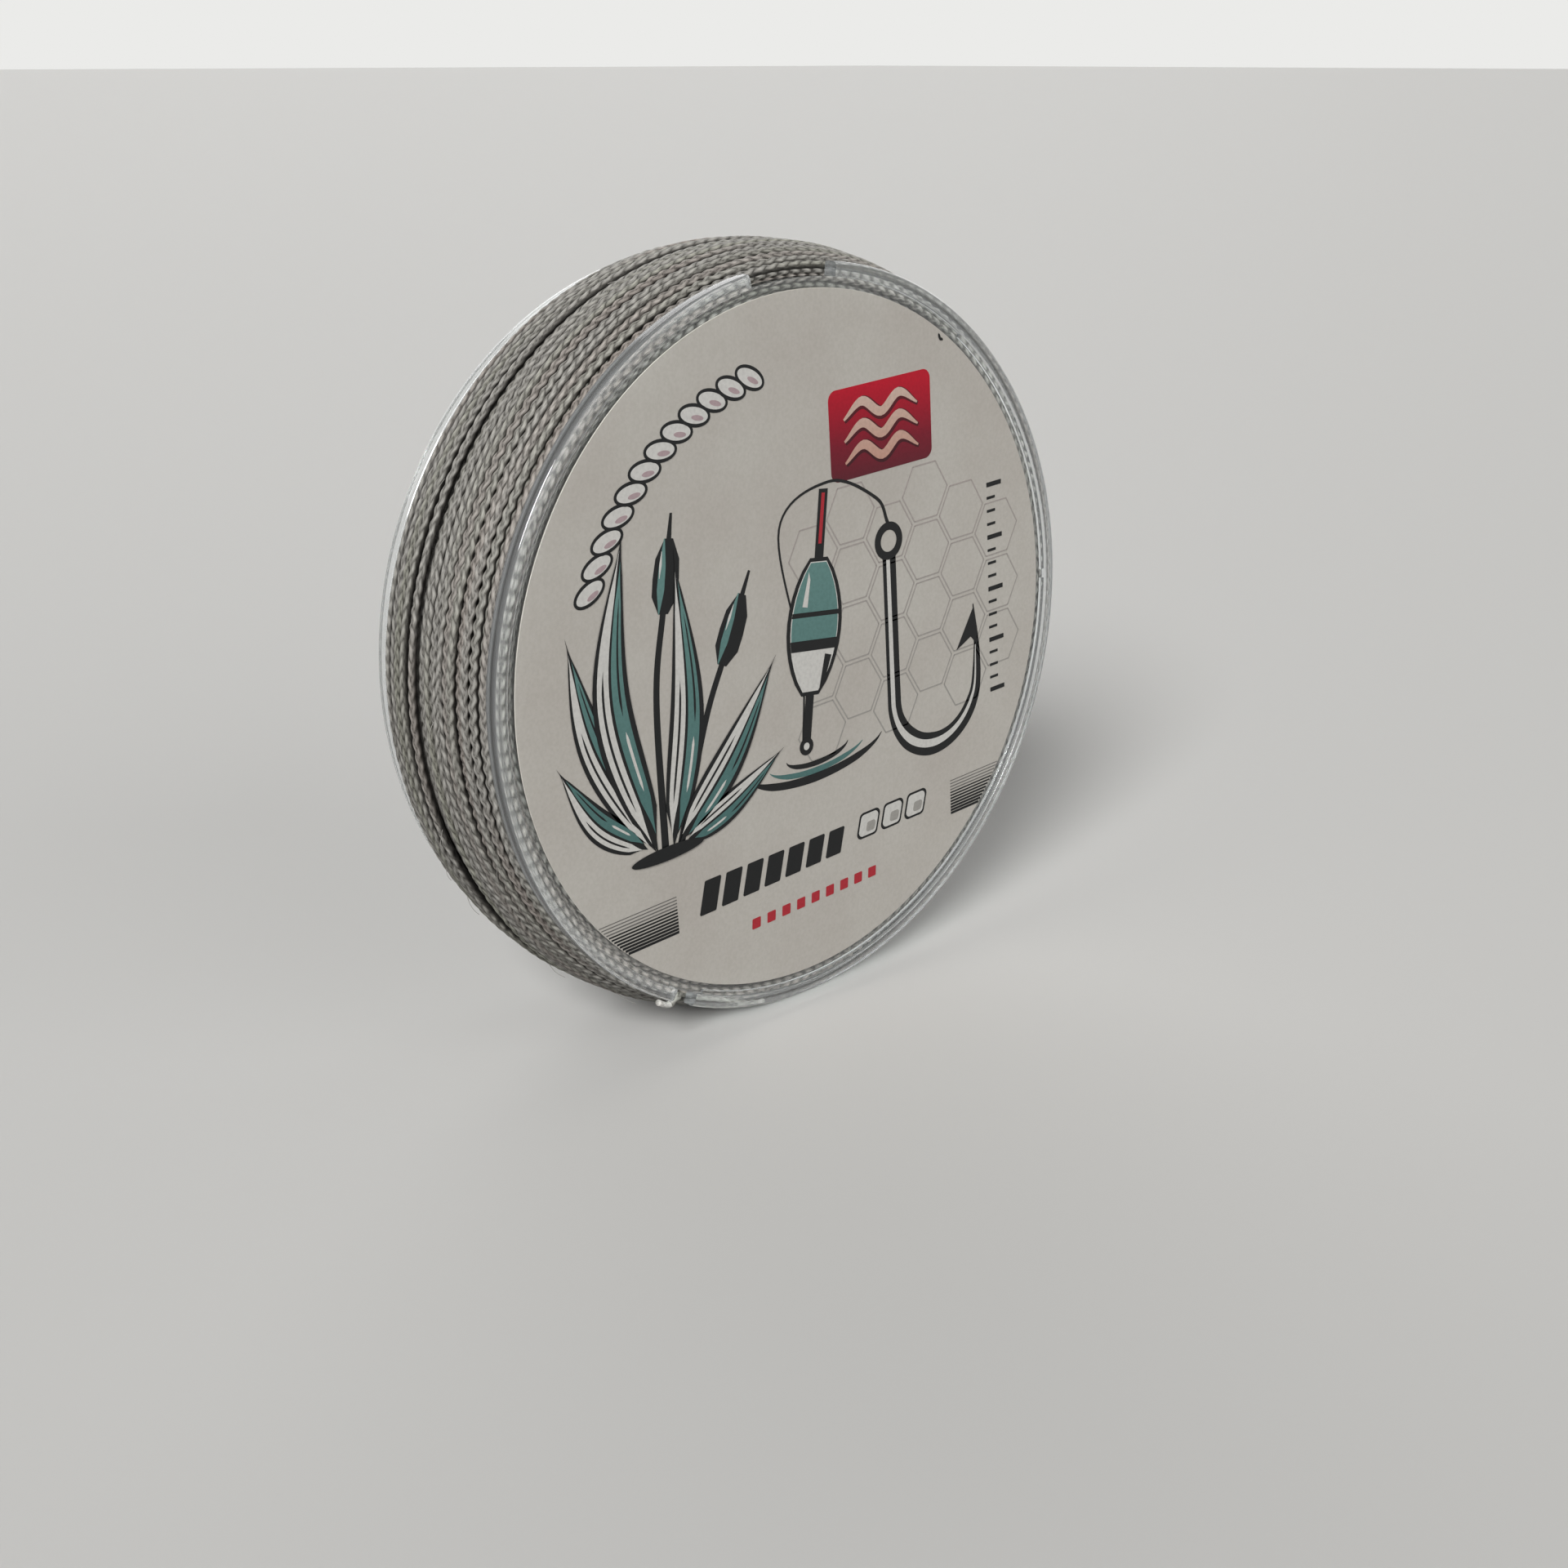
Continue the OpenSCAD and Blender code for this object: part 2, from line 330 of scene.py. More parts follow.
def braidedPolyethylene(name, crease, shade, crest):
    # four-strand polyethylene braid: pale waxy strands with painted shade in the creases between
    # them, fine filaments along each strand and a faint warm or green cast that comes and goes;
    # the attribute holds the tone, which carries painted shade, the strand's lean and the cast
    material, tree = newMaterial(name)
    weave = addNode(tree, "Attribute", {"attribute_name": "braid"}).outputs["Color"]
    parts = addNode(tree, "SeparateColor", links={0: weave})
    # the tone picks a colour from fully in painted shade (crease) to unshaded (crest)
    ramp = addNode(tree, "ValToRGB", {"stops": [(0.1, crease), (0.55, shade), (1.0, crest)]},
                   {"Fac": parts.outputs[0]})
    cast = addNode(tree, "ValToRGB", {"stops": [(0.0, "#fff5f3"), (0.35, full), (0.65, full),
                                                (1.0, "#f5f8ee")]}, {"Fac": parts.outputs[2]})
    tinted = addNode(tree, "Mix", multiply, {6: ramp, 7: cast})
    run = addNode(tree, "UVMap", {"uv_map": "alongLine"})
    # filaments lean both ways, and the strand on top picks its own
    threads = []
    for lean in (-40, 40):
        turned = addNode(tree, "Mapping", {"Rotation": (0, 0, radians(lean)),
                                           "Scale": (1.4, 8.0, 1.0)}, {0: run})  # 0.12 mm
        threads.append(addNode(tree, "TexNoise", {"Scale": 1.0, "Detail": 2.0},
                               {"Vector": turned}))
    thread = addNode(tree, "Mix", {"data_type": "FLOAT"},
                     {0: parts.outputs[1], 2: threads[0], 3: threads[1]})
    streak = addNode(tree, "ValToRGB", {"stops": [(0.3, (0.5, 0.5, 0.5, 1)), (0.62, full)]},
                     {"Fac": thread})
    colour = addNode(tree, "Mix", multiply, {6: tinted.outputs[2], 7: streak})
    bump = addNode(tree, "Bump", {"Strength": 0.4, "Distance": 0.04 * mm}, {"Height": thread})
    finishMaterial(tree, addNode(tree, "BsdfPrincipled", {
        "Roughness": 0.55, "IOR": 1.5, "Specular IOR Level": 0.3},
        {"Base Color": colour.outputs[2], "Normal": bump}))
    return material


def adhesiveTape():
    # thin whitish office tape: half matt, with fine lines along it
    material, tree = newMaterial("adhesiveTape")
    where = objectPlace(tree)
    lines = addNode(tree, "TexNoise", {"Scale": 900.0, "Detail": 2.0}, where)  # 1 mm
    tone = addNode(tree, "ValToRGB", {"stops": [(0.3, "#cfccc2"), (0.7, "#dedbd2")]},
                   {"Fac": lines})
    finishMaterial(tree, addNode(tree, "BsdfPrincipled", {"Roughness": 0.4},
                                 {"Base Color": tone}))
    return material


polystyrene = clearPolystyrene()
paper = uncoatedLabelPaper()
# each braid's colours: in full painted shade, in half painted shade, and unshaded
braid = braidedPolyethylene("greyBraid", "#1f1d1b", "#625f5a", "#c0bdb6")
cutBraid = braidedPolyethylene("cutBraid", "#8f8c84", "#d4d2ca", "#f0efe9")
tape = adhesiveTape()
print("stage: materials made")


# the clear spool

spoolSpec = dict(
    rimW=1.4, rimRound=0.45, lipRound=0.2, edgeRound=0.08, holeGap=0.05,
    collarT=0.75, collarH=1.2, drumWall=1.2, tubeWall=1.2,
    ledgeW=0.45, ledgeH=0.3, sunk=0.2,
    notch=(92.8, 16.9), slit=(243.6, 4.4),  # middle and width, degrees
    ledges=((102.85, 239.8), (247.4, 362.2), (3.8, 53.5)),
    ribs=4, ribT=1.0, ribStart=45, steps=288, cutEdge=0.12,
)
rimInR = rimR - spoolSpec["rimW"]  # inside of the rim
pocketR = drumR - spoolSpec["drumWall"] - spoolSpec["holeGap"]  # the space in the drum


def roundCorners(corners, segments=4):
    # corners are (radius from axle, depth, rounding); each corner becomes an arc
    outline = []
    for i, (x, y, r) in enumerate(corners):
        here = Vector((x, y))
        back = (Vector(corners[i - 1][:2]) - here).normalized()
        ahead = (Vector(corners[i + 1 - len(corners)][:2]) - here).normalized()
        if r <= 0:
            outline.append(here)
            continue
        half = back.angle(ahead) / 2
        centre = here + (back + ahead).normalized() * (r / sin(half))
        start = here + back * (r / tan(half)) - centre
        end = here + ahead * (r / tan(half)) - centre
        for k in range(segments + 1):
            outline.append(centre + start.lerp(end, k / segments).normalized() * r)
    return outline


def spinSection(name, outline, steps, start=0.0, sweep=360.0):
    # outline holds (radius from axle, depth) in mm, and is spun round the axle
    bm = bmesh.new()
    turn = Matrix.Rotation(-radians(start), 4, "Y")
    verts = [bm.verts.new(turn @ Vector((p[0] * mm, -p[1] * mm, 0))) for p in outline]
    edges = [bm.edges.new((verts[i - 1], verts[i])) for i in range(len(verts))]
    whole = abs(sweep) >= 360
    geometry = verts + edges
    if not whole:
        geometry.append(bm.faces.new(verts))
    bmesh.ops.spin(bm, geom=geometry, axis=(0, 1, 0), cent=(0, 0, 0), dvec=(0, 0, 0),
                   angle=-radians(sweep), steps=steps, use_merge=whole)
    bmesh.ops.remove_doubles(bm, verts=bm.verts, dist=samePlace)
    bmesh.ops.delete(bm, geom=[e for e in bm.edges if e.is_wire], context="EDGES")
    closeUp(bm)
    return addObject(name, bm)


def carve(piece, tool, operation):
    useModifier(piece, "BOOLEAN", operation=operation, solver="EXACT", object=tool)
    bpy.data.objects.remove(tool)


def softenCuts(piece, width):
    # breaks the edges of the cuts and merges the slivers that these leave
    useModifier(piece, "BEVEL", width=width * mm, segments=2, limit_method="ANGLE",
                angle_limit=radians(50), use_clamp_overlap=True)
    sliver = 0.002 * mm
    bm = bmesh.new()
    bm.from_mesh(piece.data)
    bmesh.ops.remove_doubles(bm, verts=bm.verts, dist=sliver)
    bmesh.ops.dissolve_degenerate(bm, dist=sliver / 2, edges=bm.edges)
    closeUp(bm)
    bm.to_mesh(piece.data)
    bm.free()


def flangeOutline(spec, holeR, side):
    # a flange's section, seen with the axle at the left
    e, collarDepth = spec["edgeRound"], innerDepth - spec["collarH"]
    collarInR = pocketR - spec["collarT"]
    hub = [(collarInR, collarDepth, e), (pocketR, collarDepth, e), (pocketR, innerDepth, e)]
    if holeR < collarInR:
        hub = [(holeR, innerDepth, e), (collarInR, innerDepth, e)] + hub
    corners = hub + [(rimR, innerDepth, spec["lipRound"]), (rimR, faceDepth, spec["rimRound"]),
                     (rimInR, faceDepth, e), (rimInR, plateDepth, e), (holeR, plateDepth, e)]
    return [(x, side * y) for x, y in roundCorners(corners)]


def finishClear(piece, node):
    piece.data.materials.clear()
    piece.data.materials.append(polystyrene)
    smoothShade(piece)
    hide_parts(node)
    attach(piece, "root")


def makeFlanges(spec):
    front = spinSection("front_flange_moulding",
                        flangeOutline(spec, tubeR + spec["holeGap"], 1), spec["steps"])
    low, high = plateDepth - spec["sunk"], plateDepth + spec["ledgeH"]
    ledgeR, sunkR = rimInR - spec["ledgeW"], rimInR + spec["sunk"]
    for start, end in spec["ledges"]:
        corners = [(ledgeR, low, 0), (sunkR, low, 0), (sunkR, high, 0),
                   (ledgeR, high, spec["edgeRound"])]
        ledge = spinSection("ledge", roundCorners(corners),
                            round((end - start) * spec["steps"] / 360) + 1, start, end - start)
        carve(front, ledge, "UNION")
    past = 1.0  # how far the cuts reach past the rim
    for middle, width in (spec["notch"], spec["slit"]):
        corners = [(rimInR, innerDepth - past), (rimR + past, innerDepth - past),
                   (rimR + past, faceDepth + past), (rimInR, faceDepth + past)]
        gap = spinSection("gap", corners, max(4, round(width)), middle - width / 2, width)
        carve(front, gap, "DIFFERENCE")
    softenCuts(front, spec["cutEdge"])
    finishClear(front, "front_flange")
    rear = spinSection("rear_flange_moulding",
                       flangeOutline(spec, pocketR - spec["collarT"], -1), spec["steps"])
    finishClear(rear, "rear_flange")


def makeHub(spec):
    e = spec["edgeRound"]
    for name, node, r0, r1, depth in (
            ("drum_wall", "drum", drumR - spec["drumWall"], drumR, innerDepth),
            ("spindle_sleeve", "spindle_tube", tubeR - spec["tubeWall"], tubeR, plateDepth)):
        corners = [(r0, -depth, e), (r1, -depth, e), (r1, depth, e), (r0, depth, e)]
        finishClear(spinSection(name, roundCorners(corners), spec["steps"] // 2), node)
    low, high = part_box("hub_ribs")
    bm = bmesh.new()
    inner = tubeR + spec["holeGap"]
    for i in range(spec["ribs"]):
        angle = radians(spec["ribStart"] + i * 360 / spec["ribs"])
        web = bmesh.ops.create_cube(bm, size=1)["verts"]
        bmesh.ops.scale(bm, verts=web, vec=((pocketR - inner) * mm, high.y - low.y,
                                            spec["ribT"] * mm))
        bmesh.ops.translate(bm, verts=web, vec=((pocketR + inner) / 2 * mm, 0, 0))
        bmesh.ops.rotate(bm, verts=web, matrix=Matrix.Rotation(-angle, 3, "Y"))
    bmesh.ops.bevel(bm, geom=bm.edges[:], offset=e * mm, affect="EDGES", segments=2,
                    profile=0.5, material=-1)
    finishClear(addObject("hub_webs", bm), "hub_ribs")


makeFlanges(spoolSpec)
makeHub(spoolSpec)
print("stage: clear spool made")


# the label and its print

labelSpec = dict(
    thickness=0.14,  # a hair less than the paper's, to clear the plate
    edge=0.04, steps=240,
    turn=4.3,  # degrees, the label is stuck on a little askew
    lift=0.01, level=0.014, inkThickness=0.012,
)


def makeLabel(spec):
    outline = roundCorners([(0.0, labelDepth - spec["thickness"], 0),
                            (labelR, labelDepth - spec["thickness"], spec["edge"]),
                            (labelR, labelDepth, spec["edge"]), (0.0, labelDepth, 0)])
    label = spinSection("paper_label", outline, spec["steps"])
    label.data.materials.append(paper)
    smoothShade(label)
    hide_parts("front_label")
    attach(label, "root")


inkShapes = {}  # ink name: list of (level, outline in mm from the label's middle)


def ink(name, level, outline):
    inkShapes.setdefault(name, []).append((level, outline))


def throughPoints(points, steps=8):
    # a smooth curve through a few points
    dots = [Vector(p) for p in points]
    dots = [2 * dots[0] - dots[1]] + dots + [2 * dots[-1] - dots[-2]]
    curve = []
    for i in range(1, len(dots) - 2):
        a, b, c, d = dots[i - 1:i + 3]
        for k in range(steps):
            t = k / steps
            curve.append(0.5 * (2 * b + (c - a) * t + (2 * a - 5 * b + 4 * c - d) * t * t
                                + (3 * b - a - 3 * c + d) * t ** 3))
    return curve + [dots[-2]]


def stroke(points, widths, steps=8):
    # the outline of a brush stroke along a curve, its width running through widths
    curve = throughPoints(points, steps)
    last = len(curve) - 1
    left, right = [], []
    for i, p in enumerate(curve):
        way = (curve[min(i + 1, last)] - curve[max(i - 1, 0)]).normalized()
        normal = Vector((-way.y, way.x))
        half = np.interp(i / last * (len(widths) - 1), range(len(widths)), widths) / 2
        left.append(p + normal * half)
        right.append(p - normal * half)
    return left + right[::-1]


def placed(points, x, y, tilt):
    # points turned by tilt and moved to x, y
    c, s = cos(radians(tilt)), sin(radians(tilt))
    return [Vector((x + px * c - py * s, y + px * s + py * c)) for px, py in points]


def oval(x, y, rx, ry, tilt, steps):
    around = [2 * pi * k / steps for k in range(steps)]
    return placed([(rx * cos(a), ry * sin(a)) for a in around], x, y, tilt)


def onOval(x, y, rx, ry, degrees):
    # the point of an upright oval at an angle
    a = radians(degrees)
    return Vector((x + rx * cos(a), y + ry * sin(a)))


def slab(x, y, w, h, rounding, slant=0.0):
    # a block with rounded corners, which may lean
    return roundCorners([(x + across * w / 2 + slant * up * h / 2, y + up * h / 2, rounding)
                         for across, up in ((-1, -1), (1, -1), (1, 1), (-1, 1))], 5)


def flatRing(x, y, innerR, outerR, steps=48):
    # a ring with a hairline cut, so that its outline is one loop
    turn = 359.5
    outer, inner = ([onOval(x, y, r, r, turn * k / steps) for k in range(steps + 1)]
                    for r in (outerR, innerR))
    return outer + inner[::-1]


def drawStripes():
    # the common band of stripes, thin and grey at the top, thick and black below
    count, top, bottom, margin = 12, -21.0, -24.85, 0.12
    for i in range(count):
        share = i / (count - 1)
        y = top + (bottom - top) * share
        thick = 0.1 + 0.19 * share
        name = "grey" if share < 0.3 else "black"
        reach = sqrt(labelR ** 2 - y ** 2) - margin
        for x0, x1 in ((-reach, -18.75), (20.75, reach)):
            ink(name, 0, slab((x0 + x1) / 2, y, x1 - x0, thick, 0.01))


def drawBadge(x, y):
    # a red badge with three zigzag bands and their shade
    ink("maroon", 0, slab(x, y, 14.4, 9.2, 1.0))
    for i in range(3):
        ends = [(x - 5.2 + 2.6 * k, y + 2.2 - 2.2 * i + (0.75 if k % 2 else -0.75))
                for k in range(5)]
        ink("maroonShade", 1, stroke([(px + 0.12, py - 0.16) for px, py in ends],
                                     (0.5, 1.35, 1.35, 1.35, 0.4)))
        ink("cream", 2, stroke(ends, (0.25, 0.95, 0.95, 0.95, 0.2)))


def leafPart(line, wide, start, end, side0, side1, steps=22):
    # the part of a leaf between two shares of its length and two shares of its half width
    curve = throughPoints(line, steps)
    last = len(curve) - 1
    lefts, rights = [], []
    for k in range(steps + 1):
        share = start + (end - start) * k / steps
        at = share * last
        i = min(int(at), last - 1)
        p = curve[i].lerp(curve[i + 1], at - i)
        way = (curve[i + 1] - curve[i]).normalized()
        normal = Vector((-way.y, way.x))
        half = wide / 2 * (0.12 + 0.88 * sin(pi * share ** 0.75)) * (1 - share ** 6)
        taper = min(1, 8 * k / steps, 8 * (steps - k) / steps)
        middle = (side0 + side1) / 2
        reach = (side1 - side0) / 2 * taper
        lefts.append(p + normal * half * (middle + reach))
        rights.append(p + normal * half * (middle - reach))
    return lefts + rights[::-1]


def drawLeaf(level, line, wide):
    # black outlined, one half pale and the other teal, with a few pen marks
    for name, up, *part in (("black", 0, 0, 1, -1, 1), ("white", 1, 0.04, 0.93, 0.1, 0.76),
                            ("teal", 1, 0.06, 0.9, -0.74, -0.06),
                            ("black", 2, 0.16, 0.6, 0.38, 0.5),
                            ("black", 2, 0.45, 0.8, -0.52, -0.4),
                            ("white", 2, 0.2, 0.4, -0.5, -0.36)):
        ink(name, level + up, leafPart(line, wide, *part))


def drawReeds():
    # a clump of pond reeds: broad leaves and two bulrush heads on their stems
    for line in (((-19.6, -15.6), (-19.2, 0.0), (-17.4, 9.0)),
                 ((-17.6, -15.6), (-13.4, -4.0), (-10.4, 2.0))):
        ink("black", 0, stroke(line, (0.9, 0.75, 0.7), 14))
        top = Vector(line[-1])
        way = (top - Vector(line[-2])).normalized()
        head = [top - way * 1.0, top + way * 2.4, top + way * 6.2]
        ink("black", 1, stroke(head, (1.2, 3.1, 3.2, 2.9, 1.0), 10))
        side = Vector((-way.y, way.x)) * 0.55
        ink("teal", 2, stroke([p + side for p in head], (0.1, 0.9, 0.8, 0.1), 10))
        ink("white", 3, stroke([head[1] + side * 1.5, head[1] + side * 1.4 + way * 2.6],
                               (0.05, 0.3, 0.05), 8))
        ink("black", 0, stroke([top + way * 6, top + way * 8.6], (0.6, 0.3), 4))
    leaves = [((-20.8, -15.4), (-27.0, -3.0), (-29.2, 8.6), 3.9),
              ((-20.6, -15.6), (-24.6, 1.0), (-21.6, 17.6), 4.7),
              ((-18.6, -15.6), (-15.6, -2.0), (-15.8, 14.0), 4.4),
              ((-17.8, -15.4), (-10.6, -8.6), (-3.8, 0.4), 4.2),
              ((-21.8, -14.8), (-27.4, -10.4), (-31.6, -3.4), 3.4),
              ((-17.0, -15.6), (-10.6, -13.4), (-3.4, -9.6), 3.2)]
    for i, (root, waist, tip, wide) in enumerate(leaves):
        drawLeaf(4 + 3 * (i % 2), [root, waist, tip], wide)
    ink("black", 10, oval(-19.4, -16.0, 4.6, 0.75, 0, 30))


def drawHook(x, y):
    # a plain hook on its line
    bend = 6.4
    line = [(x, y), (x, y - 7.0), (x, y - 14.5)]
    line += [onOval(x + bend, y - 16.0, -bend, -bend, k) for k in range(10, 171, 20)]
    line += [(x + 2 * bend + 0.1, y - 13.0), (x + 2 * bend - 0.3, y - 8.2)]
    ink("black", 0, stroke(line, (1.9, 1.9, 2.0, 2.5, 2.6, 2.2, 1.9, 1.3, 0.15), 8))
    inner = [Vector(p) + Vector((-0.18, 0.12)) for p in line[:-1]]
    ink("white", 1, stroke(inner, (0.5, 0.6, 0.6, 0.9, 0.9, 0.6, 0.4, 0.1), 8))
    barb = Vector((x + 2 * bend - 0.2, y - 8.4))
    ink("black", 1, [barb, barb + Vector((-2.9, -4.4)), barb + Vector((-0.6, -3.4)),
                     barb + Vector((0.45, -4.6))])
    ink("black", 2, flatRing(x, y + 1.7, 1.15, 2.0))
    thread = [(x, y + 3.6), (x - 1.6, y + 6.6), (x - 8.0, y + 9.6), (x - 15.0, y + 6.2),
              (x - 12.9, y - 8.0), (x - 13.4, y - 17.2)]
    ink("black", 1, stroke(thread, (0.42, 0.26, 0.22), 12))


def drawRipples(x, y):
    # rings of water round a float: tapered black lines with a teal one between them
    for name, rx, thick, start, end in (("black", 4.4, 0.5, 185, 352),
                                        ("teal", 7.0, 0.55, 196, 338),
                                        ("black", 9.6, 0.8, 188, 346)):
        arc = [onOval(x, y, rx, rx * 0.3, a) for a in np.linspace(start, end, 13)]
        ink(name, 0, stroke(arc, (0.05, thick, thick * 1.2, thick, 0.05), 6))


def drawFloat(x, y):
    # a fishing float: antenna, striped body and stem, leaning a little
    def lean(points):
        return placed(points, x, y, -9)

    def bodyWidth(h):
        return 3.3 * sin(pi * np.clip((h + 1.0) / 15.0, 0, 1)) ** 0.62

    def bodyBand(low, high, grow):
        heights = np.linspace(low, high, 12)
        right = [(bodyWidth(h) + grow, h) for h in heights]
        return lean(right + [(-px, py) for px, py in right[::-1]])

    ink("black", 2, lean([(-0.55, -5.5), (0.55, -5.5), (0.6, 20.5), (-0.6, 20.5)]))
    ink("red", 3, lean([(-0.22, 15.0), (0.22, 15.0), (0.22, 20.1), (-0.22, 20.1)]))
    ink("black", 3, bodyBand(-0.6, 13.6, 0.5))
    ink("white", 4, bodyBand(-0.2, 13.2, 0))
    ink("teal", 5, bodyBand(5.2, 13.1, -0.12))
    ink("black", 6, bodyBand(4.1, 5.2, 0))
    ink("black", 6, bodyBand(7.6, 8.1, 0))
    ink("white", 7, lean([(-1.9, 8.7), (-1.2, 8.6), (-1.05, 11.4), (-1.3, 12.2)]))
    ink("black", 7, lean([(1.2, -0.2), (2.0, 1.2), (2.6, 3.4), (1.7, 3.6)]))
    ink("black", 3, lean(oval(0, -6.0, 0.95, 0.95, 0, 20)))
    ink("white", 4, lean(oval(0, -6.0, 0.4, 0.4, 0, 14)))


def drawTwist():
    # a twisted cord drawn along the upper left edge, black outlined
    twistR = 28.6
    for i in range(12):
        a = 100 + i * 5.0
        x, y = onOval(0, 0, twistR, twistR, a)
        level = i % 2 * 2
        ink("black", level, oval(x, y, 2.0, 1.12, a + 50, 28))
        ink("white", level + 1, oval(x, y, 1.68, 0.78, a + 50, 28))
        ink("rose", level + 2, oval(x + 0.35, y - 0.3, 0.75, 0.26, a + 50, 20))


def drawNet(x, y):
    # a faint net of hexagons behind the rest
    size, wide = 3.6, 0.16
    for row in range(4):
        for column in range(6):
            cx = x + column * size * 1.5
            cy = y + row * size * sqrt(3) + (column % 2) * size * sqrt(3) / 2
            if hypot(cx, cy) > labelR - size - 0.6:
                continue
            corners = [onOval(cx, cy, size * 0.93, size * 0.93, 60 * k) for k in range(6)]
            for k in range(6):
                ink("ghost", 0, stroke([corners[k - 1], corners[k]], (wide, wide), 1))


def drawScale(x, y):
    # a plain depth scale: short marks, every fourth one longer
    for i in range(17):
        w, h = (1.3, 0.3) if i % 4 else (2.3, 0.5)
        ink("black", 1, slab(x + w / 2, y - i * 1.45, w, h, 0.05))


def drawFoot():
    # plain leaning bars, three rounded boxes and a row of red squares
    slant = 0.28
    for i in range(7):
        ink("black", 1, slab(-14.4 + i * 2.9, -22.4, 2.2, 3.6 - 0.12 * i, 0.18, slant))
    for x in (8.0, 11.6, 15.2):
        ink("black", 1, slab(x, -21.9, 3.1, 2.9, 0.6, slant))
        ink("white", 2, slab(x, -21.9, 2.6, 2.4, 0.5, slant))
        ink("ghost", 3, slab(x + 0.3, -22.2, 1.3, 1.1, 0.3, slant))
    for i in range(9):
        ink("red", 1, slab(-8.6 + i * 2.1, -27.6, 1.15, 1.15, 0.12, 0.1))


def drawSpeck():
    # a speck of ink near the edge
    ink("black", 1, oval(21.0, 27.85, 0.16, 0.42, 20, 10))
    ink("black", 2, oval(21.25, 27.6, 0.26, 0.14, -30, 10))


inkColours = {  # name: colours, and the heights between which they run, mm
    "black": ([(0, "#121314"), (1, "#18191a")], -30, 30),
    "teal": ([(0, "#4f7471"), (1, "#6f9590")], -16, 16),
    "white": ([(0, "#d9d7d1"), (1, "#dfddd8")], -30, 30),
    "grey": ([(0, "#6d6b68"), (1, "#7d7b77")], -30, 0),
    "ghost": ([(0, "#a7a49e"), (1, "#b3aaa5")], -10, 15),
    "rose": ([(0, "#b9a3a6"), (1, "#b9a3a6")], -30, 30),
    "red": ([(0, "#b5323c"), (1, "#b5323c")], -30, 30),
    "maroon": ([(0, "#4c2029"), (0.45, "#7d1a2c"), (1, "#c41a30")], 15, 25.5),
    "maroonShade": ([(0, "#2a1117"), (1, "#5d1420")], 15, 25.5),
    "cream": ([(0, "#c98f7c"), (1, "#dcc3b4")], 15, 25.5),
}


def makePrint(spec):
    turn = Matrix.Rotation(-radians(spec["turn"]), 4, "Y")
    for name, shapes in inkShapes.items():
        bm = bmesh.new()
        for level, outline in shapes:
            depth = labelDepth + spec["lift"] + level * spec["level"]
            face = bm.faces.new([bm.verts.new((p[0] * mm, -depth * mm, p[1] * mm))
                                 for p in outline])
            lifted = bmesh.ops.extrude_face_region(bm, geom=[face], use_keep_orig=True)
            bmesh.ops.translate(bm, vec=(0, -spec["inkThickness"] * mm, 0), verts=[
                v for v in lifted["geom"] if isinstance(v, bmesh.types.BMVert)])
        bmesh.ops.transform(bm, matrix=turn, verts=bm.verts)
        bmesh.ops.dissolve_degenerate(bm, dist=samePlace, edges=bm.edges)
        closeUp(bm)
        stops, fromZ, toZ = inkColours[name]
        sheet = addObject("print_" + name, bm, printedInk(name + "Ink", stops, fromZ, toZ))
        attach(sheet, "root")


makeLabel(labelSpec)
drawStripes()  # places are mm from the label's middle
drawBadge(12.2, 20.4)
drawReeds()
drawHook(12.6, 6.6)
drawFloat(0.6, -4.6)
drawRipples(1.2, -11.4)
drawTwist()
drawNet(2.0, -9.5)
drawScale(27.6, 11.0)
drawFoot()
drawSpeck()
makePrint(labelSpec)
print("stage: label and print made")


# the winding

lineSpec = dict(
    width=0.92, height=0.88,  # the braid pressed a little flat, mm
    # the three shade values paint shade into the braid's colour: at the pad ends, in the creases
    # between strands and in the grooves between turns
    padPitch=1.48, padLength=1.9, padHalf=0.41, padLean=0.3, padDome=0.11, padRise=0.08,
    paintedPadShade=0.75, creaseWidth=0.04, paintedCreaseShade=0.25, wave=0.08,
    shows=90, paintedGrooveShade=0.75,  # the side that faces out, and how much shade is painted on the sides that face away, in the grooves
    topSides=16, topSpan=230, underSides=3,
    castEvery=30, twist=2.5, swell=0.05,  # slow changes along the line
)
coarseLine = dict(lineSpec, topSides=9, underSides=2)  # for turns behind other pieces
windingSpec = dict(
    crownRise=1.7, frontDrop=0.4, rearRise=0.3, crownPower=2.5,
    travel=7.5, sideGap=0.08,  # how far a layer reaches, and its space at a plate
    tilt=0.75,  # how far the braid leans with the surface it lies on
    gaps=((-2.7, 0.6, 190), (-0.1, 0.8, 205)),  # depth, opening, angle where it is widest
    gapSoft=0.5,  # mm over which a gap opens
)


def windingR(depth):
    # the winding's crowned surface
    spec = windingSpec
    edge = np.where(depth > 0, rimR - spec["frontDrop"], rimR + spec["rearRise"])
    crown = rimR + spec["crownRise"]
    return crown - (crown - edge) * (np.abs(depth) / innerDepth) ** spec["crownPower"]


def surfaceTilt(depth):
    # how far a turn leans where the surface falls towards the plates
    step = 0.01
    fall = (windingR(np.abs(depth) + step) - windingR(np.abs(depth) - step)) / (2 * step)
    return -windingSpec["tilt"] * np.sign(depth) * np.abs(fall)


def sectionAngles(spec):
    # the side that shows gets more points than the side that lies on the layer below
    edge = (spec["topSpan"] - 180) / 2
    top = np.linspace(-edge, 180 + edge, spec["topSides"] + 1)
    under = np.linspace(180 + edge, 360 - edge, spec["underSides"] + 1)[1:-1]
    return np.radians(np.concatenate([top, under]))


def evenAngles(count):
    return np.radians(np.arange(count) * 360 / count)


